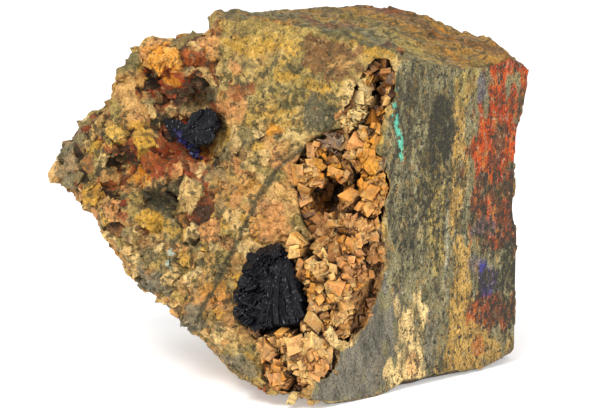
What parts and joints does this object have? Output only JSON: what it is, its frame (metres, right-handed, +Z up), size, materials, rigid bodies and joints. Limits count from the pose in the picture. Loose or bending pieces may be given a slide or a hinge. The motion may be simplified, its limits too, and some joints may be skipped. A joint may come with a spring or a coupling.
{
  "type": "mineral specimen",
  "caption": "Hand-size mineral specimen: dark blue azurite blade clusters on a broken block of tan and ochre dolomite, with an open hollow lined with dolomite rhombs and one flat sawn face.",
  "frame": {"origin": "centre of the bounding box in plan, at the flat foot", "axes": "+X to the right along the longest extent, +Y to the back, +Z up; the front face and the hollow look towards -Y"},
  "size_m": [0.1029, 0.0673, 0.0769],
  "materials": {
    "matrix": "rough broken and sawn rock, banded tan, grey, ochre and rust red",
    "crust": "satin crystal faces, tan to peach with brown edges",
    "azurite": "glassy, nearly black blue"
  },
  "bodies": {
    "root": {"dolomite_matrix": "matrix", "dolomite_crystal_crust": "crust", "azurite_rosette": "azurite", "azurite_fan": "azurite"}
  },
  "joints": []
}
